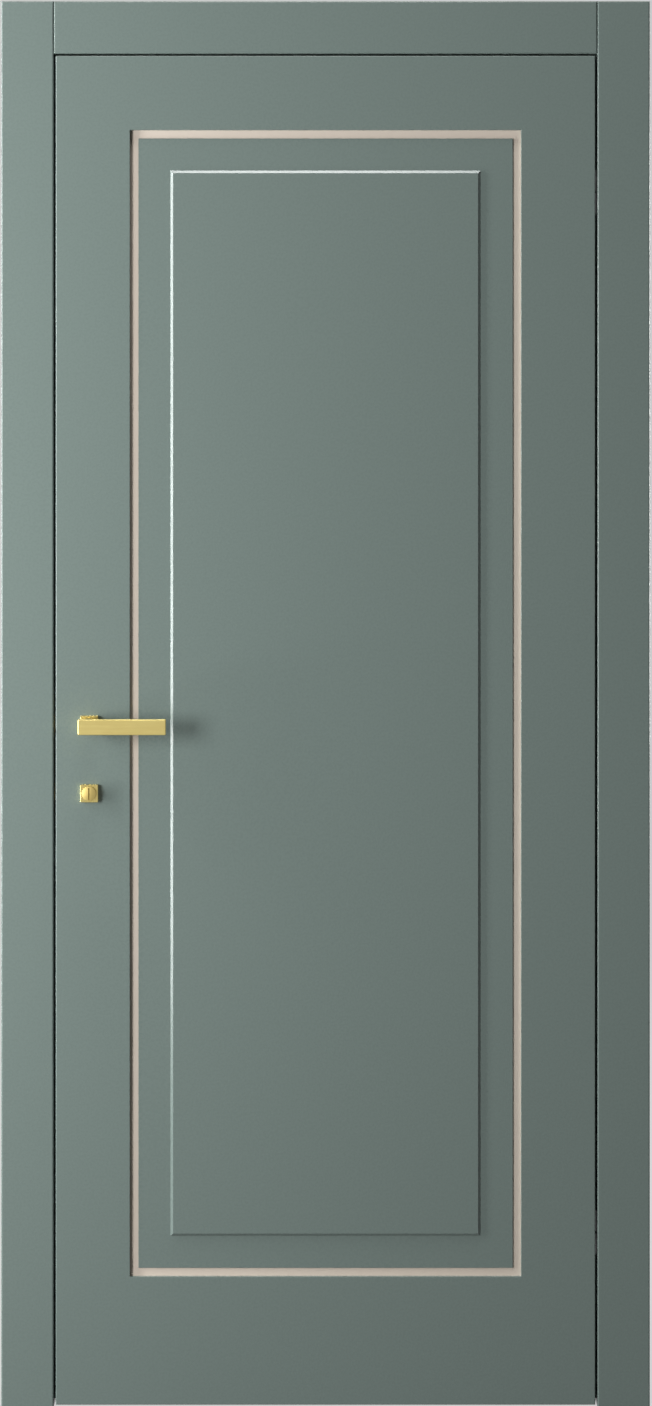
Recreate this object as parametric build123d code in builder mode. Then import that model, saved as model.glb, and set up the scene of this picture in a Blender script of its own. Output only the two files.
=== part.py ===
from build123d import *
import math
import os

# Interior door set: a flush leaf with its frame, casings, lock, handles and concealed hinges.
# Millimetres, X to the right, Y away from the viewer, Z up.
# The origin is on the floor, in the middle of the opening, on the leaf's middle plane.
# The lock side is on the left and the hinge side is on the right, as seen from the front.

# Every cut runs past its face by this much
cut_overrun = 1.0

# All screws have heads of this angle
countersink_angle = 90.0

# Leaf
leaf_width = 800.0
leaf_height = 2000.0
leaf_thickness = 40.0
leaf_gap = 3.0
floor_gap = 3.0
leaf_ease = 1.5
face_thickness = 10.0
lock_stile_width = 100.0
hinge_stile_width = 60.0
top_rail_height = 80.0
bottom_rail_height = 120.0
core_tube_radius = 6.0
core_tube_pitch = 40.0

# Milled field on both faces of the leaf
field_margin = 110.0
field_margin_bottom = 190.0
groove_width = 12.5
groove_rim_ease = 0.6
band_width = 47.5
band_recess = 3.0
bevel_width = 4.0
inlay_thickness = 2.0
inlay_clearance = 0.1
inlay_recess = 1.8

# Frame and casings
wall_thickness = 75.0
jamb_thickness = 40.0
stop_cover = 9.0
seal_gap = 3.0
casing_width = 78.0
casing_thickness = 10.0
casing_ease = 2.5
tongue_offset = 33.0
tongue_thickness = 4.0
tongue_length = 12.0
tongue_clearance = 0.2
fixing_radius = 3.0
fixing_sink_radius = 6.0
fixing_inset = 24.0
fixing_foot_distance = 125.0
fixing_top_distance = 78.0
fixing_count = 4

# Seal in the rebate
seal_inset = 5.0
seal_slot_width = 3.0
seal_slot_depth = 6.0
seal_stem_length = 5.0
seal_lip_width = 8.0
seal_lip_radius = 1.2
seal_leaf_clearance = 0.3

# Concealed hinges: each half is the same casting, and the leaf's half is the frame's half turned over
hinge_top_distance = 200.0
hinge_bottom_distance = 250.0
hinge_lip = 1.5
hinge_width = 22.0
hinge_flange_height = 120.0
hinge_flange_thickness = 2.5
hinge_case_height = 70.0
hinge_case_depth = 26.0
hinge_corner = 3.0
hinge_wall = 1.5
hinge_end_wall = 2.0
hinge_shelf = 2.0
hinge_pivot_inset = 4.0
hinge_pivot_offset = 2.5
hinge_pin_radius = 2.0
hinge_pin_clearance = 0.05
hinge_eye_radius = 4.2
hinge_arm_thickness = 4.5
hinge_arm_length = 25.0
hinge_arm_clearance = 0.5
hinge_screw_end = 11.0
hinge_screw_radius = 2.0
hinge_screw_head_radius = 4.0
hinge_screw_length = 22.0
mortise_clearance = 0.1

# Lock in the leaf's edge
backset = 50.0
lever_height = 1009.0
turn_drop = 102.0
forend_width = 18.0
forend_height = 210.0
forend_ear = 18.0
forend_thickness = 3.0
forend_screw_end = 9.0
forend_screw_radius = 1.8
forend_screw_head_radius = 3.6
forend_screw_length = 24.0
lock_case_depth = 74.0
lock_case_thickness = 15.0
lock_wall = 1.5
lock_clearance = 0.3
hub_radius = 9.0
hub_journal_radius = 7.0
cam_radius = 8.0
cam_journal_radius = 5.5
journal_clearance = 0.08
bolt_setback = 0.5
bolt_travel = 10.0
bolt_length = 32.0
bolt_tail_length = 26.0
latch_thickness = 8.0
latch_height = 24.0
latch_nose_radius = 3.0
privacy_bolt_thickness = 8.0
privacy_bolt_height = 22.0
privacy_bolt_ease = 1.0

# Strike in the lock-side jamb
strike_width = 16.0
strike_height = 190.0
strike_ear = 20.0
strike_corner = 3.0
strike_thickness = 1.5
strike_opening_margin = 1.0
strike_screw_end = 9.0
strike_screw_radius = 1.8
strike_screw_head_radius = 3.2
strike_screw_length = 24.0
strike_box_width = 14.0
strike_box_wall = 1.0
magnet_thickness = 8.0
magnet_height = 20.0
magnet_depth = 4.0
magnet_clearance = 1.0

# Levers
rosette_size = 26.0
rosette_thickness = 7.0
rosette_ease = 0.6
rosette_spigot_length = 6.0
spigot_clearance = 0.05
lever_bore_radius = 11.0
lever_length = 129.0
lever_bar_height = 23.0
lever_bar_thickness = 10.0
lever_projection = 55.0
lever_ease = 1.6
lever_neck_radius = 9.5
neck_clearance = 0.3
neck_foot_gap = 1.0
spindle_size = 8.0
spindle_engagement = 25.0
spindle_clearance = 0.05

# Privacy turn and coin release
turn_bore_radius = 8.0
turn_shaft_radius = 5.0
turn_radius = 10.8
turn_rosette_gap = 0.4
turn_eave_height = 9.0
turn_ridge_height = 15.0
turn_ridge_ease = 0.6
turn_edge_ease = 0.5
coin_disc_height = 4.0
coin_dome = 1.8
coin_slot_width = 1.8
coin_slot_depth = 3.6
coin_slot_length = 18.0
turn_spindle_size = 6.0
turn_spindle_engagement = 8.0

# Places worked out from the sizes above
leaf_right = leaf_width / 2
leaf_left = -leaf_right
leaf_bottom = floor_gap
leaf_top = leaf_bottom + leaf_height
leaf_mid = (leaf_bottom + leaf_top) / 2
leaf_rear = leaf_thickness / 2
leaf_front = -leaf_rear
core_thickness = leaf_thickness - 2 * face_thickness

field_width = leaf_width - 2 * field_margin
field_height = leaf_height - field_margin - field_margin_bottom
field_mid = leaf_bottom + field_margin_bottom + field_height / 2
panel_inset = groove_width + band_width
groove_depth = band_recess + inlay_recess + inlay_thickness

jamb_front = leaf_front + casing_thickness
jamb_rear = jamb_front + wall_thickness
stop_face = leaf_rear + seal_gap
frame_middle = (jamb_front + jamb_rear) / 2
jamb_outside = leaf_right + leaf_gap + jamb_thickness
frame_top = leaf_top + leaf_gap + jamb_thickness
casing_top = leaf_top + leaf_gap + casing_width
tongue_place = leaf_gap + tongue_offset
fixing_place = jamb_front + fixing_inset
fixing_highest = leaf_top - fixing_top_distance
fixing_spacing = (fixing_highest - fixing_foot_distance) / (fixing_count - 1)
seal_place = -stop_cover + seal_inset

lever_axis_x = leaf_left + backset
lever_axis_z = leaf_bottom + lever_height
turn_axis_z = lever_axis_z - turn_drop
lock_middle = (lever_axis_z + turn_axis_z) / 2
latch_rise = lever_axis_z - lock_middle
lock_case_height = forend_height - 2 * forend_ear
strike_box_height = strike_height - 2 * strike_ear
hub_width = lock_case_thickness - 2 * lock_wall - 2 * lock_clearance
box_reach = bolt_travel - bolt_setback - leaf_gap - strike_thickness
strike_box_depth = box_reach + magnet_clearance + magnet_depth + strike_box_wall

hinge_middle = jamb_front + hinge_lip + hinge_width / 2
hinge_heights = {"upper": leaf_top - hinge_top_distance, "lower": leaf_bottom + hinge_bottom_distance}
hinge_level = (hinge_case_height - 2 * hinge_end_wall - hinge_shelf) / 2

lever_face = leaf_thickness / 2 + lever_projection
rosette_face = leaf_thickness / 2 + rosette_thickness

# Planes: local Z points into the leaf or the jamb, and on the front face's plane at the viewer
face_plane = Plane.XZ.offset(leaf_thickness / 2)
side_plane = Plane(origin=(leaf_right, 0, 0), x_dir=(1, 0, 0), z_dir=(0, 0, 1))
head_plane = Plane(origin=(jamb_outside, 0, leaf_top), x_dir=(0, 0, 1), z_dir=(-1, 0, 0))
right_mitre = Plane(origin=(leaf_right, 0, leaf_top), z_dir=(-1, 0, 1))
left_mitre = Plane(origin=(leaf_left, 0, leaf_top), z_dir=(1, 0, 1))
lock_plane = Plane(origin=(leaf_left, 0, lock_middle), x_dir=(0, 1, 0), z_dir=(1, 0, 0))
strike_plane = Plane(origin=(leaf_left - leaf_gap, 0, lock_middle), x_dir=(0, -1, 0), z_dir=(-1, 0, 0))
frame_mirror = Plane.XZ.offset(-frame_middle)

os.makedirs("parts", exist_ok=True)


def save(piece, name):
    piece.label = name
    export_step(piece, f"parts/{name}.step")


def mirrored(piece, about):
    with BuildPart() as copy:
        add(piece)
        mirror(about=about, mode=Mode.REPLACE)
    return copy.part


def flipped(plane):
    """The same place, looked at from the other side."""
    return Plane(origin=plane.origin, x_dir=plane.x_dir, z_dir=-plane.z_dir)


def countersunk_screws(plane, places, radius, head_radius, length):
    """Screws driven along the plane's local Z, their heads flush with it."""
    with BuildPart() as screws:
        with BuildSketch(plane):
            with Locations(*places):
                Circle(head_radius)
        extrude(amount=head_radius - radius, taper=countersink_angle / 2)
        with BuildSketch(plane):
            with Locations(*places):
                Circle(radius)
        extrude(amount=length)
    return screws.part


def countersunk_holes(plane, places, radius, head_radius, depth):
    """Holes for those screws, cut in the part that is being built."""
    with Locations(flipped(plane)):
        with Locations(*[(x, -y) for x, y in places]):
            CounterSinkHole(radius, head_radius, depth, counter_sink_angle=countersink_angle)


def screw_pilots(plane, places, radius, depth):
    with BuildSketch(plane) as pilots:
        with Locations(*places):
            Circle(radius)
    extrude(pilots.sketch, amount=depth, mode=Mode.SUBTRACT)


# Hinges
def hinge_plane(side, height):
    """The mouth of one hinge half: side 1 is the jamb's, side -1 the leaf's, turned over."""
    mouth = leaf_right + leaf_gap if side > 0 else leaf_right
    return Plane(origin=(mouth, hinge_middle, height), x_dir=(0, 1, 0), z_dir=(side, 0, 0))


hinge_screw_place = hinge_flange_height / 2 - hinge_screw_end
hinge_screw_places = [(0, hinge_screw_place), (0, -hinge_screw_place)]


def pivot_plane(plane, start):
    """Across the pivot's axis, this far from the case's middle: local Y points out of the mouth."""
    origin = plane.from_local_coords(Vector(hinge_pivot_offset, start, hinge_pivot_inset))
    return Plane(origin=origin, x_dir=plane.x_dir, z_dir=plane.y_dir)


def hinge_case(plane):
    with BuildPart() as case:
        with BuildSketch(plane):
            SlotOverall(hinge_flange_height, hinge_width, rotation=90)
        extrude(amount=hinge_flange_thickness)
        with BuildSketch(plane):
            RectangleRounded(hinge_width, hinge_case_height, hinge_corner)
        extrude(amount=hinge_case_depth)
        with BuildSketch(plane):
            with GridLocations(0, hinge_level + hinge_shelf, 1, 2):
                RectangleRounded(hinge_width - 2 * hinge_wall, hinge_level, hinge_wall)
        extrude(amount=hinge_case_depth - hinge_wall, mode=Mode.SUBTRACT)
        with BuildSketch(pivot_plane(plane, 0)):
            Circle(hinge_pin_radius)
        extrude(amount=hinge_case_height / 2, mode=Mode.SUBTRACT)
        countersunk_holes(
            plane, hinge_screw_places, hinge_screw_radius, hinge_screw_head_radius, hinge_case_depth
        )
    return case.part


def hinge_pin(plane):
    with BuildPart() as pin:
        with BuildSketch(pivot_plane(plane, 0)):
            Circle(hinge_pin_radius)
        extrude(amount=hinge_case_height / 2)
    return pin.part


def hinge_arm(plane):
    """A flat arm with an eye round the pin; its free end reaches into the other half's other level."""
    with BuildPart() as arm:
        with BuildSketch(pivot_plane(plane, hinge_shelf / 2 + hinge_arm_clearance)):
            Circle(hinge_eye_radius)
            Rectangle(hinge_arm_thickness, hinge_arm_length, align=(Align.CENTER, Align.MIN))
            with Locations((0, hinge_arm_length)):
                Circle(hinge_arm_thickness / 2)
            Circle(hinge_pin_radius + hinge_pin_clearance, mode=Mode.SUBTRACT)
        extrude(amount=hinge_level - 2 * hinge_arm_clearance)
    return arm.part


def cut_hinge_mortise(plane):
    """The routed seat of one hinge half, cut in the part that is being built."""
    width = hinge_width + 2 * mortise_clearance
    with BuildSketch(plane) as flange_seat:
        SlotOverall(hinge_flange_height + 2 * mortise_clearance, width, rotation=90)
    extrude(flange_seat.sketch, amount=hinge_flange_thickness, mode=Mode.SUBTRACT)
    with BuildSketch(plane) as case_seat:
        RectangleRounded(width, hinge_case_height + 2 * mortise_clearance, hinge_corner)
    extrude(case_seat.sketch, amount=hinge_case_depth + mortise_clearance, mode=Mode.SUBTRACT)
    screw_pilots(plane, hinge_screw_places, hinge_screw_radius, hinge_screw_length)


owners = {"frame": 1, "leaf": -1}
for owner, side in owners.items():
    planes = {level: hinge_plane(side, height) for level, height in hinge_heights.items()}
    for level, plane in planes.items():
        save(hinge_case(plane), f"hinge_{level}_{owner}_case")
        save(hinge_arm(plane), f"hinge_{level}_{owner}_arm")
    with BuildPart() as hinge_pins:
        for plane in planes.values():
            add(hinge_pin(plane))
    save(hinge_pins.part, f"hinge_{owner}_pins")
    with BuildPart() as hinge_screws:
        for plane in planes.values():
            add(
                countersunk_screws(
                    plane,
                    hinge_screw_places,
                    hinge_screw_radius,
                    hinge_screw_head_radius,
                    hinge_screw_length,
                )
            )
    save(hinge_screws.part, f"hinge_{owner}_screws")


# Frame: one rebated section, mitred at the two top corners
def jamb_section():
    with BuildLine() as outline:
        Polyline(
            (leaf_gap, jamb_front),
            (leaf_gap + jamb_thickness, jamb_front),
            (leaf_gap + jamb_thickness, jamb_rear),
            (-stop_cover, jamb_rear),
            (-stop_cover, stop_face),
            (leaf_gap, stop_face),
            close=True,
        )
    make_face(outline.edges())
    groove = (tongue_thickness + 2 * tongue_clearance, tongue_length + tongue_clearance)
    with Locations((tongue_place, jamb_front)):
        Rectangle(*groove, align=(Align.CENTER, Align.MIN), mode=Mode.SUBTRACT)
    with Locations((tongue_place, jamb_rear)):
        Rectangle(*groove, align=(Align.CENTER, Align.MAX), mode=Mode.SUBTRACT)
    with Locations((seal_place, stop_face)):
        Rectangle(
            seal_slot_width, seal_slot_depth, align=(Align.CENTER, Align.MIN), mode=Mode.SUBTRACT
        )


def seal_section():
    with Locations((seal_place, stop_face)):
        Rectangle(seal_slot_width, seal_stem_length, align=(Align.CENTER, Align.MIN))
        lip = Rectangle(
            seal_lip_width, seal_gap - seal_leaf_clearance, align=(Align.CENTER, Align.MAX)
        )
    fillet(lip.vertices().group_by(Axis.Y)[0], seal_lip_radius)


def side_run(section):
    """The hinge side's run of a section, mitred at its top."""
    with BuildPart() as run:
        with BuildSketch(side_plane):
            section()
        extrude(amount=frame_top)
        split(bisect_by=right_mitre, keep=Keep.BOTTOM)
    return run.part


def head_run(section):
    with BuildPart() as run:
        with BuildSketch(head_plane):
            section()
        extrude(amount=2 * jamb_outside)
        split(bisect_by=right_mitre, keep=Keep.TOP)
        split(bisect_by=left_mitre, keep=Keep.TOP)
    return run.part


def cut_wall_fixings(side):
    """Countersunk holes through a jamb, for the screws that fix it to the wall."""
    place = Vector(side * (leaf_right + leaf_gap), fixing_place, fixing_foot_distance)
    plane = Plane(origin=place, x_dir=(0, 1, 0), z_dir=(side, 0, 0))
    places = [(0, side * fixing_spacing * step) for step in range(fixing_count)]
    depth = jamb_thickness + cut_overrun
    countersunk_holes(plane, places, fixing_radius, fixing_sink_radius, depth)


latch_opening = (
    latch_thickness + 2 * strike_opening_margin,
    latch_height + 2 * strike_opening_margin,
)
bolt_opening = (
    privacy_bolt_thickness + 2 * strike_opening_margin,
    privacy_bolt_height + 2 * strike_opening_margin,
)
strike_screw_place = strike_height / 2 - strike_screw_end
strike_screw_places = [(0, strike_screw_place), (0, -strike_screw_place)]

with BuildPart() as jamb_hinge_side:
    add(side_run(jamb_section))
    for height in hinge_heights.values():
        cut_hinge_mortise(hinge_plane(owners["frame"], height))
    cut_wall_fixings(1)
save(jamb_hinge_side.part, "jamb_hinge_side")

with BuildPart() as jamb_lock_side:
    add(mirrored(side_run(jamb_section), Plane.YZ))
    with BuildSketch(strike_plane):
        RectangleRounded(
            strike_width + 2 * mortise_clearance, strike_height + 2 * mortise_clearance, strike_corner
        )
    extrude(amount=strike_thickness, mode=Mode.SUBTRACT)
    with BuildSketch(strike_plane):
        Rectangle(strike_box_width, strike_box_height)
    extrude(amount=strike_thickness + strike_box_depth, mode=Mode.SUBTRACT)
    screw_pilots(strike_plane, strike_screw_places, strike_screw_radius, strike_screw_length)
    cut_wall_fixings(-1)
save(jamb_lock_side.part, "jamb_lock_side")

save(head_run(jamb_section), "jamb_head")

with BuildPart() as frame_seal:
    add(side_run(seal_section))
    add(mirrored(side_run(seal_section), Plane.YZ))
    add(head_run(seal_section))
save(frame_seal.part, "frame_seal")

# Strike
with BuildPart() as strike_plate:
    with BuildSketch(strike_plane):
        RectangleRounded(strike_width, strike_height, strike_corner)
        with Locations((0, latch_rise)):
            Rectangle(*latch_opening, mode=Mode.SUBTRACT)
        with Locations((0, -latch_rise)):
            Rectangle(*bolt_opening, mode=Mode.SUBTRACT)
    extrude(amount=strike_thickness)
    countersunk_holes(
        strike_plane,
        strike_screw_places,
        strike_screw_radius,
        strike_screw_head_radius,
        strike_screw_length,
    )
save(strike_plate.part, "strike_plate")

with BuildPart() as strike_box:
    with BuildSketch(strike_plane.offset(strike_thickness)):
        Rectangle(strike_box_width, strike_box_height)
    extrude(amount=strike_box_depth)
    with BuildSketch(strike_plane.offset(strike_thickness)):
        Rectangle(strike_box_width - 2 * strike_box_wall, strike_box_height - 2 * strike_box_wall)
    extrude(amount=strike_box_depth - strike_box_wall, mode=Mode.SUBTRACT)
save(strike_box.part, "strike_box")

with BuildPart() as strike_magnet:
    with BuildSketch(strike_plane.offset(strike_thickness + box_reach + magnet_clearance)):
        with Locations((0, latch_rise)):
            Rectangle(magnet_thickness, magnet_height)
    extrude(amount=magnet_depth)
save(strike_magnet.part, "strike_magnet")

strike_screws = countersunk_screws(
    strike_plane,
    strike_screw_places,
    strike_screw_radius,
    strike_screw_head_radius,
    strike_screw_length,
)
save(strike_screws, "strike_screws")


# Casings: eased boards, each with a tongue in the jamb's groove
def casing_board():
    with Locations((leaf_gap, leaf_front)):
        Rectangle(casing_width, casing_thickness, align=(Align.MIN, Align.MIN))


def casing_tongue():
    with Locations((tongue_place, jamb_front)):
        Rectangle(tongue_thickness, tongue_length, align=(Align.CENTER, Align.MIN))


with BuildPart() as side_casing:
    with BuildSketch(side_plane):
        casing_board()
    extrude(amount=casing_top)
    show_edges = side_casing.faces().sort_by(Axis.Y)[0].edges()
    fillet(show_edges.sort_by(Axis.Z)[1:], casing_ease)
    with BuildSketch(side_plane):
        casing_tongue()
    extrude(amount=leaf_top)

head_casing_plane = Plane(
    origin=(leaf_right + leaf_gap, 0, leaf_top), x_dir=(0, 0, 1), z_dir=(-1, 0, 0)
)
with BuildPart() as head_casing:
    with BuildSketch(head_casing_plane):
        casing_board()
    extrude(amount=leaf_width + 2 * leaf_gap)
    fillet(head_casing.faces().sort_by(Axis.Y)[0].edges(), casing_ease)
    with BuildSketch(head_casing_plane):
        casing_tongue()
    extrude(amount=leaf_width + 2 * leaf_gap)

casings = {
    "hinge_side": side_casing.part,
    "lock_side": mirrored(side_casing.part, Plane.YZ),
    "head": head_casing.part,
}
for place, casing in casings.items():
    save(mirrored(casing, frame_mirror), f"casing_rear_{place}")
    save(casing, f"casing_front_{place}")

# Leaf: two milled face sheets on a core of stiles, rails and tubular board
with BuildPart() as leaf_face_front:
    with BuildSketch(face_plane):
        with Locations((0, leaf_mid)):
            Rectangle(leaf_width, leaf_height)
    extrude(amount=-face_thickness)
    fillet(leaf_face_front.faces().sort_by(Axis.Y)[0].edges(), leaf_ease)
    with BuildSketch(face_plane):
        with Locations((0, field_mid)):
            Rectangle(field_width, field_height)
    extrude(amount=-band_recess, mode=Mode.SUBTRACT)
    with BuildSketch(face_plane):
        with Locations((0, field_mid)):
            Rectangle(field_width, field_height)
            Rectangle(
                field_width - 2 * groove_width, field_height - 2 * groove_width, mode=Mode.SUBTRACT
            )
    extrude(amount=-groove_depth, mode=Mode.SUBTRACT)
    border = leaf_face_front.faces().filter_by(Plane.XZ).sort_by(Axis.Y)[0]
    fillet(border.inner_wires()[0].edges(), groove_rim_ease)
    with BuildSketch(face_plane.offset(-band_recess)):
        with Locations((0, field_mid)):
            Rectangle(field_width - 2 * panel_inset, field_height - 2 * panel_inset)
    extrude(amount=band_recess, taper=math.degrees(math.atan(bevel_width / band_recess)))
    with BuildSketch(face_plane):
        with Locations((lever_axis_x, lever_axis_z)):
            Circle(lever_bore_radius)
        with Locations((lever_axis_x, turn_axis_z)):
            Circle(turn_bore_radius)
    extrude(amount=-face_thickness, mode=Mode.SUBTRACT)
save(leaf_face_front.part, "leaf_face_front")

with BuildPart() as leaf_face_rear:
    add(mirrored(leaf_face_front.part, Plane.XZ))
    for height in hinge_heights.values():
        cut_hinge_mortise(hinge_plane(owners["leaf"], height))
save(leaf_face_rear.part, "leaf_face_rear")

core_plane = Plane.XZ.offset(core_thickness / 2)
inner_left = leaf_left + lock_stile_width
inner_right = leaf_right - hinge_stile_width
inner_width = inner_right - inner_left
inner_bottom = leaf_bottom + bottom_rail_height
inner_height = leaf_height - bottom_rail_height - top_rail_height
forend_screw_place = forend_height / 2 - forend_screw_end
forend_screw_places = [(0, forend_screw_place), (0, -forend_screw_place)]


def core_bar(left, bottom, width, height):
    """A bar of the leaf's inner frame, between the two face sheets."""
    with BuildPart() as bar:
        with BuildSketch(core_plane):
            with Locations((left, bottom)):
                Rectangle(width, height, align=(Align.MIN, Align.MIN))
        extrude(amount=-core_thickness)
    return bar.part


with BuildPart() as leaf_stile_lock_side:
    add(core_bar(leaf_left, leaf_bottom, lock_stile_width, leaf_height))
    with BuildSketch(lock_plane):
        SlotOverall(
            forend_height + 2 * mortise_clearance, forend_width + 2 * mortise_clearance, rotation=90
        )
    extrude(amount=forend_thickness, mode=Mode.SUBTRACT)
    with BuildSketch(lock_plane):
        Rectangle(
            lock_case_thickness + 2 * mortise_clearance, lock_case_height + 2 * mortise_clearance
        )
    extrude(amount=forend_thickness + lock_case_depth + mortise_clearance, mode=Mode.SUBTRACT)
    with BuildSketch(core_plane):
        with Locations((lever_axis_x, lever_axis_z)):
            Circle(lever_bore_radius)
        with Locations((lever_axis_x, turn_axis_z)):
            Circle(turn_bore_radius)
    extrude(amount=-core_thickness, mode=Mode.SUBTRACT)
    screw_pilots(lock_plane, forend_screw_places, forend_screw_radius, forend_screw_length)
save(leaf_stile_lock_side.part, "leaf_stile_lock_side")

with BuildPart() as leaf_stile_hinge_side:
    add(core_bar(inner_right, leaf_bottom, hinge_stile_width, leaf_height))
    for height in hinge_heights.values():
        cut_hinge_mortise(hinge_plane(owners["leaf"], height))
save(leaf_stile_hinge_side.part, "leaf_stile_hinge_side")

save(core_bar(inner_left, leaf_top - top_rail_height, inner_width, top_rail_height), "leaf_rail_top")
save(core_bar(inner_left, leaf_bottom, inner_width, bottom_rail_height), "leaf_rail_bottom")

with BuildPart() as leaf_core:
    add(core_bar(inner_left, inner_bottom, inner_width, inner_height))
    tube_count = int(inner_width / core_tube_pitch)
    with BuildSketch(Plane.XY.offset(inner_bottom)):
        with Locations(((inner_left + inner_right) / 2, 0)):
            with GridLocations(core_tube_pitch, 0, tube_count, 1):
                Circle(core_tube_radius)
    extrude(amount=inner_height, mode=Mode.SUBTRACT)
save(leaf_core.part, "leaf_core")


# Inlay: four mitred flat strips in each groove, set below the band
field_left = -field_width / 2
field_top = field_mid + field_height / 2
inlay_floor = leaf_front + groove_depth
upper_inlay_mitre = Plane(origin=(field_left, 0, field_top), z_dir=(1, 0, 1))
lower_inlay_mitre = Plane(origin=(field_left, 0, field_top - field_height), z_dir=(1, 0, -1))
right_inlay_mitre = Plane(origin=(-field_left, 0, field_top), z_dir=(-1, 0, 1))
field_mirror = Plane.XY.offset(field_mid)


def inlay_section():
    """Local X runs inwards from the groove's outer wall, and local Y from its floor to the viewer."""
    with Locations((groove_width / 2, 0)):
        Rectangle(
            groove_width - 2 * inlay_clearance, inlay_thickness, align=(Align.CENTER, Align.MIN)
        )


inlay_side_plane = Plane(
    origin=(field_left, inlay_floor, field_mid), x_dir=(1, 0, 0), z_dir=(0, 0, -1)
)
with BuildPart() as inlay_left:
    with BuildSketch(inlay_side_plane):
        inlay_section()
    extrude(amount=field_height / 2, both=True)
    split(bisect_by=upper_inlay_mitre, keep=Keep.BOTTOM)
    split(bisect_by=lower_inlay_mitre, keep=Keep.BOTTOM)

inlay_head_plane = Plane(
    origin=(0, inlay_floor, field_top), x_dir=(0, 0, -1), z_dir=(-1, 0, 0)
)
with BuildPart() as inlay_top:
    with BuildSketch(inlay_head_plane):
        inlay_section()
    extrude(amount=field_width / 2, both=True)
    split(bisect_by=upper_inlay_mitre, keep=Keep.TOP)
    split(bisect_by=right_inlay_mitre, keep=Keep.TOP)

inlays = {
    "left": inlay_left.part,
    "right": mirrored(inlay_left.part, Plane.YZ),
    "top": inlay_top.part,
    "bottom": mirrored(inlay_top.part, field_mirror),
}
for place, strip in inlays.items():
    save(mirrored(strip, Plane.XZ), f"inlay_rear_{place}")
    save(strip, f"inlay_front_{place}")

# Lock
with BuildPart() as lock_forend:
    with BuildSketch(lock_plane):
        SlotOverall(forend_height, forend_width, rotation=90)
        with Locations((0, latch_rise)):
            Rectangle(
                latch_thickness + 2 * lock_clearance,
                latch_height + 2 * lock_clearance,
                mode=Mode.SUBTRACT,
            )
        with Locations((0, -latch_rise)):
            Rectangle(
                privacy_bolt_thickness + 2 * lock_clearance,
                privacy_bolt_height + 2 * lock_clearance,
                mode=Mode.SUBTRACT,
            )
    extrude(amount=forend_thickness)
    countersunk_holes(
        lock_plane,
        forend_screw_places,
        forend_screw_radius,
        forend_screw_head_radius,
        forend_screw_length,
    )
save(lock_forend.part, "lock_forend")

forend_screws = countersunk_screws(
    lock_plane,
    forend_screw_places,
    forend_screw_radius,
    forend_screw_head_radius,
    forend_screw_length,
)
save(forend_screws, "forend_screws")

lock_side_plane = Plane.XZ.offset(lock_case_thickness / 2)
case_left = leaf_left + forend_thickness


def cut_journals(plane, depth):
    """The bearing holes of the hub and the cam, cut in the part that is being built."""
    with BuildSketch(plane) as journals:
        with Locations((lever_axis_x, lever_axis_z)):
            Circle(hub_journal_radius + journal_clearance)
        with Locations((lever_axis_x, turn_axis_z)):
            Circle(cam_journal_radius + journal_clearance)
    extrude(journals.sketch, amount=-depth, mode=Mode.SUBTRACT)


with BuildPart() as lock_case:
    tray_depth = lock_case_thickness - lock_wall
    with BuildSketch(lock_side_plane):
        with Locations((case_left, lock_middle)):
            Rectangle(lock_case_depth, lock_case_height, align=(Align.MIN, Align.CENTER))
    extrude(amount=-tray_depth)
    with BuildSketch(lock_side_plane.offset(-lock_wall)):
        with Locations((case_left + lock_wall, lock_middle)):
            Rectangle(
                lock_case_depth - 2 * lock_wall,
                lock_case_height - 2 * lock_wall,
                align=(Align.MIN, Align.CENTER),
            )
    extrude(amount=-tray_depth, mode=Mode.SUBTRACT)
    with BuildSketch(lock_plane.offset(forend_thickness)):
        with Locations((0, latch_rise)):
            Rectangle(latch_thickness + 2 * lock_clearance, latch_height + 2 * lock_clearance)
        with Locations((0, -latch_rise)):
            Rectangle(
                privacy_bolt_thickness + 2 * lock_clearance, privacy_bolt_height + 2 * lock_clearance
            )
    extrude(amount=lock_wall, mode=Mode.SUBTRACT)
    cut_journals(lock_side_plane, lock_wall)
save(lock_case.part, "lock_case")

with BuildPart() as lock_cover:
    with BuildSketch(lock_side_plane.offset(-tray_depth)):
        with Locations((case_left, lock_middle)):
            Rectangle(lock_case_depth, lock_case_height, align=(Align.MIN, Align.CENTER))
    extrude(amount=-lock_wall)
    cut_journals(lock_side_plane.offset(-tray_depth), lock_wall)
save(lock_cover.part, "lock_cover")


def turned_follower(axis_z, radius, journal_radius, square):
    """A round follower with a journal at each end and a square bore for its spindle."""
    with BuildPart() as follower:
        with BuildSketch(Plane.XZ):
            with Locations((lever_axis_x, axis_z)):
                Circle(radius)
        extrude(amount=hub_width / 2, both=True)
        with BuildSketch(Plane.XZ):
            with Locations((lever_axis_x, axis_z)):
                Circle(journal_radius)
        extrude(amount=lock_case_thickness / 2, both=True)
        with BuildSketch(Plane.XZ):
            with Locations((lever_axis_x, axis_z)):
                Rectangle(square + 2 * spindle_clearance, square + 2 * spindle_clearance)
        extrude(amount=lock_case_thickness, both=True, mode=Mode.SUBTRACT)
    return follower.part


save(turned_follower(lever_axis_z, hub_radius, hub_journal_radius, spindle_size), "lock_hub")
save(turned_follower(turn_axis_z, cam_radius, cam_journal_radius, turn_spindle_size), "bolt_cam")


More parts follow.
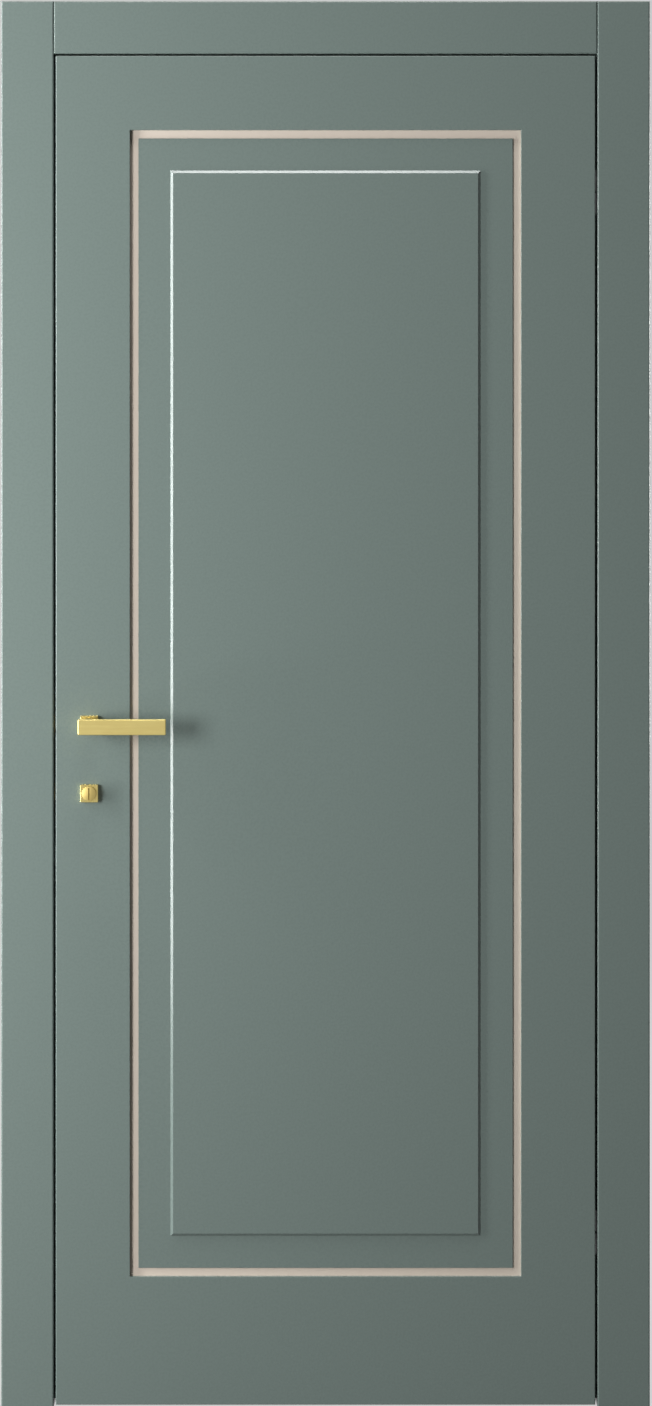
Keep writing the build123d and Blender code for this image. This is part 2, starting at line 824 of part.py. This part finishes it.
def sliding_bolt(rise, thickness, height, follower_radius):
    """A bolt head with a tail that passes over its follower."""
    tail_bottom = follower_radius + lock_clearance
    with BuildPart() as bolt:
        with BuildSketch(lock_plane.offset(bolt_setback)):
            with Locations((0, rise)):
                Rectangle(thickness, height)
        extrude(amount=bolt_length)
        with BuildSketch(lock_plane.offset(bolt_setback + bolt_length)):
            with Locations((0, rise + tail_bottom)):
                Rectangle(thickness, height / 2 - tail_bottom, align=(Align.CENTER, Align.MIN))
        extrude(amount=bolt_tail_length)
    return bolt.part


with BuildPart() as latch_bolt:
    add(sliding_bolt(latch_rise, latch_thickness, latch_height, hub_radius))
    nose = latch_bolt.faces().sort_by(Axis.X)[0]
    fillet(nose.edges().filter_by(Axis.Z), latch_nose_radius)
save(latch_bolt.part, "latch_bolt")

with BuildPart() as privacy_bolt:
    add(sliding_bolt(-latch_rise, privacy_bolt_thickness, privacy_bolt_height, cam_radius))
    chamfer(privacy_bolt.faces().sort_by(Axis.X)[0].edges(), privacy_bolt_ease)
save(privacy_bolt.part, "privacy_bolt")


# Levers and rosettes
def rosette(axis_z, bore_radius, spigot_radius):
    with BuildPart() as plate:
        with BuildSketch(face_plane):
            with Locations((lever_axis_x, axis_z)):
                Rectangle(rosette_size, rosette_size)
        extrude(amount=rosette_thickness)
        front = plate.faces().sort_by(Axis.Y)[0]
        fillet(front.edges() + plate.edges().filter_by(Axis.Y), rosette_ease)
        with BuildSketch(face_plane):
            with Locations((lever_axis_x, axis_z)):
                Circle(spigot_radius - spigot_clearance)
        extrude(amount=-rosette_spigot_length)
        with BuildSketch(Plane.XZ.offset(rosette_face)):
            with Locations((lever_axis_x, axis_z)):
                Circle(bore_radius)
        extrude(amount=-(rosette_thickness + rosette_spigot_length), mode=Mode.SUBTRACT)
    return plate.part


rosettes = {
    "lever": rosette(lever_axis_z, lever_neck_radius + neck_clearance, lever_bore_radius),
    "turn": rosette(turn_axis_z, turn_shaft_radius + neck_clearance, turn_bore_radius),
}
for use, plate in rosettes.items():
    save(mirrored(plate, Plane.XZ), f"{use}_rosette_rear")
    save(plate, f"{use}_rosette_front")

with BuildPart() as lever_front:
    with BuildSketch(Plane.XZ.offset(lever_face)):
        with Locations((lever_axis_x - rosette_size / 2, lever_axis_z)):
            Rectangle(lever_length, lever_bar_height, align=(Align.MIN, Align.CENTER))
    extrude(amount=-lever_bar_thickness)
    fillet(lever_front.edges(), lever_ease)
    with BuildSketch(Plane.XZ.offset(lever_face - lever_bar_thickness)):
        with Locations((lever_axis_x, lever_axis_z)):
            Circle(lever_neck_radius)
    extrude(amount=-(lever_projection - lever_bar_thickness - neck_foot_gap))
    with BuildSketch(face_plane.offset(neck_foot_gap)):
        with Locations((lever_axis_x, lever_axis_z)):
            Rectangle(spindle_size + 2 * spindle_clearance, spindle_size + 2 * spindle_clearance)
    extrude(amount=spindle_engagement, mode=Mode.SUBTRACT)
save(lever_front.part, "lever_front")
save(mirrored(lever_front.part, Plane.XZ), "lever_rear")

with BuildPart() as lever_spindle:
    with BuildSketch(Plane.XZ):
        with Locations((lever_axis_x, lever_axis_z)):
            Rectangle(spindle_size, spindle_size)
    extrude(amount=leaf_thickness / 2 + spindle_engagement, both=True)
save(lever_spindle.part, "lever_spindle")

# Coin release in front, privacy turn behind
turn_base = rosette_face + turn_rosette_gap


def turn_shaft():
    """The shaft through the rosette, with the spindle's socket, added to the part being built."""
    with BuildSketch(Plane.XZ.offset(turn_base)) as shaft:
        with Locations((lever_axis_x, turn_axis_z)):
            Circle(turn_shaft_radius)
    extrude(shaft.sketch, amount=-(rosette_thickness + turn_rosette_gap))
    socket_size = turn_spindle_size + 2 * spindle_clearance
    with BuildSketch(face_plane) as socket:
        with Locations((lever_axis_x, turn_axis_z)):
            Rectangle(socket_size, socket_size)
    extrude(socket.sketch, amount=turn_spindle_engagement, mode=Mode.SUBTRACT)


with BuildPart() as thumb_turn:
    with BuildSketch(Plane.XZ.offset(turn_base)):
        with Locations((lever_axis_x, turn_axis_z)):
            Circle(turn_radius)
    extrude(amount=turn_ridge_height)
    with BuildSketch(Plane.XY.offset(turn_axis_z - turn_radius)):
        with Locations((lever_axis_x, -turn_base)):
            Polygon(
                (-turn_radius, 0),
                (turn_radius, 0),
                (turn_radius, -turn_eave_height),
                (0, -turn_ridge_height),
                (-turn_radius, -turn_eave_height),
                align=None,
            )
    extrude(amount=2 * turn_radius, mode=Mode.INTERSECT)
    ridge = thumb_turn.edges().filter_by(Axis.Z).sort_by(Axis.Y)[0]
    fillet(ridge, turn_ridge_ease)
    turn_shaft()
save(mirrored(thumb_turn.part, Plane.XZ), "thumb_turn")

coin_face = turn_base + coin_disc_height + coin_dome
dome_radius = (turn_radius**2 + coin_dome**2) / (2 * coin_dome)
with BuildPart() as coin_release:
    with BuildSketch(Plane.XZ.offset(turn_base)):
        with Locations((lever_axis_x, turn_axis_z)):
            Circle(turn_radius)
    extrude(amount=coin_disc_height + coin_dome)
    with Locations((lever_axis_x, dome_radius - coin_face, turn_axis_z)):
        Sphere(dome_radius, mode=Mode.INTERSECT)
    fillet(coin_release.edges().sort_by(Axis.Y)[0], turn_edge_ease)
    with BuildSketch(Plane.XZ.offset(coin_face)):
        with Locations((lever_axis_x, turn_axis_z)):
            SlotOverall(coin_slot_length, coin_slot_width, rotation=90)
    extrude(amount=-coin_slot_depth, mode=Mode.SUBTRACT)
    turn_shaft()
save(coin_release.part, "coin_release")

with BuildPart() as turn_spindle:
    with BuildSketch(Plane.XZ):
        with Locations((lever_axis_x, turn_axis_z)):
            Rectangle(turn_spindle_size, turn_spindle_size)
    extrude(amount=leaf_thickness / 2 + turn_spindle_engagement, both=True)
save(turn_spindle.part, "turn_spindle")
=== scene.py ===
import math
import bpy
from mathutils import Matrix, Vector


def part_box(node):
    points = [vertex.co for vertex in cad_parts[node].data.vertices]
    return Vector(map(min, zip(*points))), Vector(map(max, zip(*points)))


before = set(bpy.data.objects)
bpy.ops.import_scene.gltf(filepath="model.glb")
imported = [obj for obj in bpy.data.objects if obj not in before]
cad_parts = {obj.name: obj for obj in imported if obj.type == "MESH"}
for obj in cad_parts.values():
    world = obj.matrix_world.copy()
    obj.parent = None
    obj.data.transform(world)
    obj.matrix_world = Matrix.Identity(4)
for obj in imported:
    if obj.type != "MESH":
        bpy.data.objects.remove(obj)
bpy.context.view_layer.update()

from fnmatch import fnmatchcase
from typing import NamedTuple

import bpy
from mathutils import Vector

# Looks of a painted interior door set: enamel, inlaid metal, brass furniture, lock and hinges.
# Metres, in the frame of the construction: X to the right, Y away from the viewer, Z up.

# Photograph's frame, in pixels
PHOTO_WIDTH = 652
PHOTO_HEIGHT = 1406
PHOTO_LEAF_LEFT = 55.7
PHOTO_LEAF_RIGHT = 595.4
PHOTO_LEAF_TOP = 55.7
PHOTO_HORIZON = 470.0

# Camera: its distance from the leaf's face, its sensor in millimetres and its level line of sight
CAMERA_DISTANCE = 4.4
SENSOR = 36.0
LEVEL_SIGHT = (math.pi / 2, 0.0, 0.0)


class Lamp(NamedTuple):
    """A rectangular lamp, in metres and watts."""

    place: tuple
    target: tuple
    width: float
    height: float
    power: float


LAMPS = {
    "main": Lamp((-2.7, -2.5, 1.35), (0.0, 0.0, 0.95), width=1.2, height=1.6, power=101.0),
    "edge": Lamp((-1.75, -0.39, 1.42), (0.0, 0.0, 1.27), width=0.24, height=2.2, power=44.0),
    "top": Lamp((-0.1, -0.47, 4.3), (0.0, 0.0, 1.6), width=1.1, height=0.3, power=41.0),
    "rear": Lamp((2.5, 2.6, 1.5), (0.0, 0.0, 1.0), width=1.2, height=1.6, power=100.0),
    "rear_edge": Lamp((-2.4, 1.9, 1.6), (0.0, 0.0, 1.0), width=0.8, height=1.8, power=34.0),
    "side": Lamp((3.0, 0.4, 1.4), (0.0, 0.1, 1.1), width=0.4, height=1.8, power=40.0),
}

# Strengths of the light from all round, and of the background and floor as they are seen
SKY_LIGHT = 0.012
BACKGROUND_SEEN = 0.6
FLOOR_SEEN = 0.59

FLOOR_SIZE = 24.0
FLOOR_DROP = 0.0005


def srgb(red, green, blue):
    """A colour read off a picture, 0 to 255, as linear light."""

    def linear(value):
        share = value / 255
        return share / 12.92 if share <= 0.04045 else ((share + 0.055) / 1.055) ** 2.4

    return (linear(red), linear(green), linear(blue), 1.0)


# Colours
WHITE = (1.0, 1.0, 1.0, 1.0)
ENAMEL = srgb(119, 134, 129)
ENAMEL_SHADE = srgb(118, 133, 128)
CHAMPAGNE = srgb(236, 223, 209)
CHAMPAGNE_SHADE = srgb(231, 217, 202)
BRASS = srgb(227, 209, 136)
BRASS_SHADE = srgb(220, 200, 127)
BRASS_TURNED = srgb(196, 178, 114)
BRASS_TURNED_SHADE = srgb(189, 170, 106)
STEEL = srgb(176, 177, 178)
STEEL_SHADE = srgb(150, 151, 153)
CASTING = srgb(128, 130, 131)
CASTING_SHADE = srgb(118, 120, 122)
RUBBER = srgb(26, 27, 27)
RUBBER_SHADE = srgb(20, 21, 21)
MOULDING = srgb(30, 30, 30)
MOULDING_SHADE = srgb(24, 24, 24)
PINE = srgb(206, 172, 124)
PINE_SHADE = srgb(178, 138, 90)
CHIPBOARD = srgb(188, 157, 112)
CHIPBOARD_SHADE = srgb(133, 102, 64)
FLOOR = srgb(72, 72, 71)
FLOOR_SHADE = srgb(69, 69, 68)
FLOOR_BOUNCE = srgb(84, 84, 83)

# Part of a noise's range that is put to use
NOISE_RANGE = (0.3, 0.7)

# Scales that draw a grain out along one axis
GRAIN_SHARE = 0.04
ALONG_X = (GRAIN_SHARE, 1.0, 1.0)
ALONG_Y = (1.0, GRAIN_SHARE, 1.0)
ALONG_Z = (1.0, 1.0, GRAIN_SHARE)

# Softwood: its rings, and the paint on the outer ends of its own box
RING_SCALE = 55.0
RING_DETAIL = 4.0
RING_COARSENESS = 0.6
RING_RANGE = (0.35, 0.6)
RING_STRENGTH = 0.05
RING_HEIGHT = 0.0002
PINE_ROUGHNESS = (0.55, 0.72)
PAINT_ROUGHNESS = 0.275
PAINT_SHARES = {"X": 0.01, "Z": 0.0005}
BOX_MIDDLE = 0.5

# Chipboard's flakes
FLAKE_SCALE = 260.0
FLAKE_RANGE = (0.1, 0.8)
FLAKE_STRENGTH = 0.4
FLAKE_HEIGHT = 0.0008
CHIPBOARD_ROUGHNESS = (0.7, 0.85)

# Floor's surface
FLOOR_TINT_SCALE = 2.0
FLOOR_GLOSS_SCALE = 30.0
FLOOR_ROUGHNESS = (0.75, 0.85)
FLOOR_SPECULAR = 0.1


class Finish(NamedTuple):
    """Two colours, a range of roughness and a relief, each spread by a noise of its own scale."""

    colour: tuple
    shade: tuple
    tint_scale: float
    roughness: tuple
    gloss_scale: float
    relief_scale: float
    relief_strength: float
    relief_height: float
    detail: float = 2.0
    stretch: tuple = None
    metallic: float = 0.0
    specular: float = 0.5


def brushed(colour, shade, roughness, stretch):
    """Metal with a fine grain drawn along one axis."""
    return Finish(
        colour,
        shade,
        tint_scale=420.0,
        roughness=roughness,
        gloss_scale=1600.0,
        relief_scale=1600.0,
        relief_strength=0.05,
        relief_height=0.0001,
        detail=3.0,
        stretch=stretch,
        metallic=1.0,
    )


def anodised_strip(stretch):
    """Matt strip, with its drawing lines along its length."""
    return Finish(
        CHAMPAGNE,
        CHAMPAGNE_SHADE,
        tint_scale=14.0,
        roughness=(0.44, 0.52),
        gloss_scale=700.0,
        relief_scale=700.0,
        relief_strength=0.05,
        relief_height=0.0001,
        stretch=stretch,
        specular=0.2,
    )


FINISHES = {
    # Sprayed satin enamel: a fine grain of colour and gloss, and a faint orange peel
    "enamel": Finish(
        ENAMEL,
        ENAMEL_SHADE,
        tint_scale=320.0,
        roughness=(0.265, 0.285),
        gloss_scale=260.0,
        relief_scale=420.0,
        relief_strength=0.04,
        relief_height=0.0002,
        specular=0.4,
    ),
    "inlay_upright": anodised_strip(ALONG_Z),
    "inlay_level": anodised_strip(ALONG_X),
    "brass_level": brushed(BRASS, BRASS_SHADE, (0.33, 0.40), ALONG_X),
    "brass_upright": brushed(BRASS, BRASS_SHADE, (0.25, 0.32), ALONG_Z),
    "brass_turned": brushed(BRASS_TURNED, BRASS_TURNED_SHADE, (0.57, 0.64), ALONG_Y),
    "plated_steel": brushed(STEEL, STEEL_SHADE, (0.31, 0.38), ALONG_Z),
    "plated_steel_level": brushed(STEEL, STEEL_SHADE, (0.29, 0.36), ALONG_Y),
    "hinge_casting": Finish(
        CASTING,
        CASTING_SHADE,
        tint_scale=40.0,
        roughness=(0.38, 0.50),
        gloss_scale=120.0,
        relief_scale=1400.0,
        relief_strength=0.12,
        relief_height=0.0003,
        metallic=0.75,
    ),
    "seal_rubber": Finish(
        RUBBER,
        RUBBER_SHADE,
        tint_scale=50.0,
        roughness=(0.62, 0.78),
        gloss_scale=300.0,
        relief_scale=1600.0,
        relief_strength=0.15,
        relief_height=0.0002,
    ),
    "box_moulding": Finish(
        MOULDING,
        MOULDING_SHADE,
        tint_scale=60.0,
        roughness=(0.45, 0.58),
        gloss_scale=200.0,
        relief_scale=2200.0,
        relief_strength=0.2,
        relief_height=0.0002,
    ),
}

# Which material each node gets: the first pattern that its name fits
FINISH_OF_NODE = {
    "jamb_*": "enamel",
    "casing_*": "enamel",
    "leaf_face_*": "enamel",
    "inlay_*_left": "inlay_upright",
    "inlay_*_right": "inlay_upright",
    "inlay_*": "inlay_level",
    "leaf_stile_*": "pine_upright",
    "leaf_rail_*": "pine_level",
    "leaf_core": "chipboard",
    "frame_seal": "seal_rubber",
    "strike_box": "box_moulding",
    "thumb_turn": "brass_turned",
    "coin_release": "brass_turned",
    "*_rosette_*": "brass_upright",
    "lock_forend": "brass_upright",
    "strike_plate": "brass_upright",
    "lever_front": "brass_level",
    "lever_rear": "brass_level",
    "latch_bolt": "brass_level",
    "privacy_bolt": "brass_level",
    "forend_screws": "brass_level",
    "strike_screws": "brass_level",
    "hinge_*_case": "hinge_casting",
    "*_spindle": "plated_steel_level",
    "*": "plated_steel",
}


class Nodes:
    """A material's node tree, with short ways to add and link nodes."""

    def __init__(self, name):
        self.material = bpy.data.materials.new(name)
        self.material.use_nodes = True
        self.tree = self.material.node_tree
        self.shader = self.tree.nodes["Principled BSDF"]
        self.place = self.add("ShaderNodeTexCoord").outputs["Object"]

    def add(self, kind, **values):
        node = self.tree.nodes.new(kind)
        for key, value in values.items():
            setattr(node, key, value)
        return node

    def link(self, source, target):
        self.tree.links.new(source, target)

    def put(self, socket, value):
        self.shader.inputs[socket].default_value = value

    def noise(self, scale, detail=2.0, coarseness=0.5, stretch=None):
        """Noise over the object's own place, drawn out along an axis by a stretch of scales."""
        node = self.add("ShaderNodeTexNoise")
        node.inputs["Scale"].default_value = scale
        node.inputs["Detail"].default_value = detail
        node.inputs["Roughness"].default_value = coarseness
        source = self.place
        if stretch:
            mapping = self.add("ShaderNodeMapping")
            mapping.inputs["Scale"].default_value = stretch
            self.link(source, mapping.inputs["Vector"])
            source = mapping.outputs["Vector"]
        self.link(source, node.inputs["Vector"])
        return node.outputs["Fac"]

    def tint(self, value, first, second, used=NOISE_RANGE):
        """Base colour that goes from the first to the second over the used range of a value."""
        node = self.add("ShaderNodeValToRGB")
        for element, position, colour in zip(node.color_ramp.elements, used, (first, second)):
            element.position = position
            element.color = colour
        self.link(value, node.inputs["Fac"])
        self.link(node.outputs["Color"], self.shader.inputs["Base Color"])
        return node.outputs["Color"]

    def gloss(self, value, roughness):
        """Roughness that goes over a range with a value."""
        node = self.add("ShaderNodeMapRange")
        node.inputs["From Min"].default_value, node.inputs["From Max"].default_value = NOISE_RANGE
        node.inputs["To Min"].default_value, node.inputs["To Max"].default_value = roughness
        self.link(value, node.inputs["Value"])
        self.link(node.outputs["Result"], self.shader.inputs["Roughness"])
        return node.outputs["Result"]

    def relief(self, height, strength, distance):
        node = self.add("ShaderNodeBump")
        node.inputs["Strength"].default_value = strength
        node.inputs["Distance"].default_value = distance
        self.link(height, node.inputs["Height"])
        self.link(node.outputs["Normal"], self.shader.inputs["Normal"])

    def outermost(self):
        """One at the ends of the piece's own box, sideways and upright, and nought between them."""
        split = self.add("ShaderNodeSeparateXYZ")
        self.link(self.add("ShaderNodeTexCoord").outputs["Generated"], split.inputs["Vector"])
        inside = self.add("ShaderNodeMath", operation="MULTIPLY")
        for (axis, share), socket in zip(PAINT_SHARES.items(), inside.inputs):
            middle = self.add("ShaderNodeMath", operation="COMPARE")
            middle.inputs[1].default_value = BOX_MIDDLE
            middle.inputs[2].default_value = BOX_MIDDLE - share
            self.link(split.outputs[axis], middle.inputs[0])
            self.link(middle.outputs["Value"], socket)
        ends = self.add("ShaderNodeMath", operation="SUBTRACT")
        ends.inputs[0].default_value = 1.0
        self.link(inside.outputs["Value"], ends.inputs[1])
        return ends.outputs["Value"]

    def blend(self, kind, share, first, second, socket):
        """Goes from a linked value to a set one, by a share, into a socket of the shader."""
        node = self.add("ShaderNodeMix", data_type=kind)
        factor, low, high = [s for s in node.inputs if s.enabled]
        high.default_value = second
        self.link(share, factor)
        self.link(first, low)
        result = next(s for s in node.outputs if s.enabled)
        self.link(result, self.shader.inputs[socket])


def surface(name, finish):
    """The material of a finish."""
    n = Nodes(name)

    def grain(scale):
        return n.noise(scale, detail=finish.detail, stretch=finish.stretch)

    n.tint(grain(finish.tint_scale), finish.shade, finish.colour)
    n.gloss(grain(finish.gloss_scale), finish.roughness)
    n.relief(grain(finish.relief_scale), finish.relief_strength, finish.relief_height)
    n.put("Metallic", finish.metallic)
    n.put("Specular IOR Level", finish.specular)
    return n.material


def timber(name, stretch):
    """Planed softwood, its rings drawn out along the bar, and enamelled where it is the leaf's edge."""
    n = Nodes(name)
    rings = n.noise(RING_SCALE, detail=RING_DETAIL, coarseness=RING_COARSENESS, stretch=stretch)
    wood = n.tint(rings, PINE_SHADE, PINE, used=RING_RANGE)
    sheen = n.gloss(rings, PINE_ROUGHNESS)
    n.relief(rings, RING_STRENGTH, RING_HEIGHT)
    painted = n.outermost()
    n.blend("RGBA", painted, wood, ENAMEL, "Base Color")
    n.blend("FLOAT", painted, sheen, PAINT_ROUGHNESS, "Roughness")
    return n.material


def chipboard(name):
    """Pressed flakes, each of its own shade."""
    n = Nodes(name)
    flakes = n.add("ShaderNodeTexVoronoi")
    flakes.inputs["Scale"].default_value = FLAKE_SCALE
    n.link(n.place, flakes.inputs["Vector"])
    n.tint(flakes.outputs["Color"], CHIPBOARD_SHADE, CHIPBOARD, used=FLAKE_RANGE)
    n.gloss(flakes.outputs["Distance"], CHIPBOARD_ROUGHNESS)
    n.relief(flakes.outputs["Distance"], FLAKE_STRENGTH, FLAKE_HEIGHT)
    return n.material


def seen_ray(tree):
    """One for rays that show a surface, straight or in metal or glass, and nought for rays that light."""
    path = tree.nodes.new("ShaderNodeLightPath")
    total = path.outputs["Is Camera Ray"]
    for kind in ("Is Glossy Ray", "Is Transmission Ray"):
        either = tree.nodes.new("ShaderNodeMath")
        either.operation = "MAXIMUM"
        tree.links.new(total, either.inputs[0])
        tree.links.new(path.outputs[kind], either.inputs[1])
        total = either.outputs["Value"]
    return total


def show_or_light(tree, output, lighting, seen):
    """Sends one shader to the rays that light and another to the rays that show."""
    mix = tree.nodes.new("ShaderNodeMixShader")
    tree.links.new(seen_ray(tree), mix.inputs["Fac"])
    tree.links.new(lighting, mix.inputs[1])
    tree.links.new(seen, mix.inputs[2])
    tree.links.new(mix.outputs["Shader"], tree.nodes[output].inputs["Surface"])


def pale_floor(name):
    """Pale where it is seen, and darker for the light that it throws back at the door's foot."""
    n = Nodes(name)
    n.tint(n.noise(FLOOR_TINT_SCALE), FLOOR_SHADE, FLOOR)
    n.gloss(n.noise(FLOOR_GLOSS_SCALE), FLOOR_ROUGHNESS)
    n.put("Emission Color", WHITE)
    n.put("Emission Strength", FLOOR_SEEN)
    n.put("Specular IOR Level", FLOOR_SPECULAR)
    bounce = n.add("ShaderNodeBsdfDiffuse")
    bounce.inputs["Color"].default_value = FLOOR_BOUNCE
    show_or_light(n.tree, "Material Output", bounce.outputs["BSDF"], n.shader.outputs["BSDF"])
    return n.material


materials = {name: surface(name, finish) for name, finish in FINISHES.items()}
materials["pine_upright"] = timber("pine_upright", ALONG_Z)
materials["pine_level"] = timber("pine_level", ALONG_X)
materials["chipboard"] = chipboard("chipboard")


def finish_of(node):
    """The name of the material that a node of the construction is finished in."""
    return next(finish for pattern, finish in FINISH_OF_NODE.items() if fnmatchcase(node, pattern))


for node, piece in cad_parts.items():
    piece.data.materials.clear()
    piece.data.materials.append(materials[finish_of(node)])


def add_floor():
    bpy.ops.mesh.primitive_plane_add(size=FLOOR_SIZE, location=(0, 0, -FLOOR_DROP))
    floor = bpy.context.object
    floor.name = "floor"
    floor.data.materials.append(pale_floor("floor"))


def add_lamp(name, lamp):
    """A rectangular lamp that the camera doesn't see, turned to its target."""
    data = bpy.data.lights.new(name, "AREA")
    data.shape = "RECTANGLE"
    data.size = lamp.width
    data.size_y = lamp.height
    data.energy = lamp.power
    holder = bpy.data.objects.new(name, data)
    holder.visible_camera = False
    holder.location = lamp.place
    sight = Vector(lamp.target) - Vector(lamp.place)
    holder.rotation_euler = sight.to_track_quat("-Z", "Y").to_euler()
    bpy.context.collection.objects.link(holder)


def add_world():
    """Weak light from all round, and a pale background for what looks past the door."""
    world = bpy.data.worlds.new("studio")
    bpy.context.scene.world = world
    world.use_nodes = True
    tree = world.node_tree
    light = tree.nodes["Background"]
    seen = tree.nodes.new("ShaderNodeBackground")
    for background, strength in ((light, SKY_LIGHT), (seen, BACKGROUND_SEEN)):
        background.inputs["Strength"].default_value = strength
        background.inputs["Color"].default_value = WHITE
    show_or_light(tree, "World Output", light.outputs["Background"], seen.outputs["Background"])


def add_camera():
    """Looks straight at the leaf's face, framed as in the photograph."""
    low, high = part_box("leaf_face_front")
    metres_per_pixel = (high[0] - low[0]) / (PHOTO_LEAF_RIGHT - PHOTO_LEAF_LEFT)
    frame_height = PHOTO_HEIGHT * metres_per_pixel
    middle_x = low[0] + (PHOTO_WIDTH / 2 - PHOTO_LEAF_LEFT) * metres_per_pixel
    horizon = high[2] - (PHOTO_HORIZON - PHOTO_LEAF_TOP) * metres_per_pixel
    data = bpy.data.cameras.new("camera")
    data.sensor_fit = "AUTO"
    data.sensor_width = SENSOR
    data.lens = SENSOR * CAMERA_DISTANCE / frame_height
    data.shift_y = (PHOTO_HORIZON - PHOTO_HEIGHT / 2) / PHOTO_HEIGHT
    camera = bpy.data.objects.new("camera", data)
    bpy.context.collection.objects.link(camera)
    camera.location = (middle_x, low[1] - CAMERA_DISTANCE, horizon)
    camera.rotation_euler = LEVEL_SIGHT
    bpy.context.scene.camera = camera


add_floor()
for name, lamp in LAMPS.items():
    add_lamp(name, lamp)
add_world()
add_camera()
bpy.context.scene.view_settings.view_transform = "Standard"
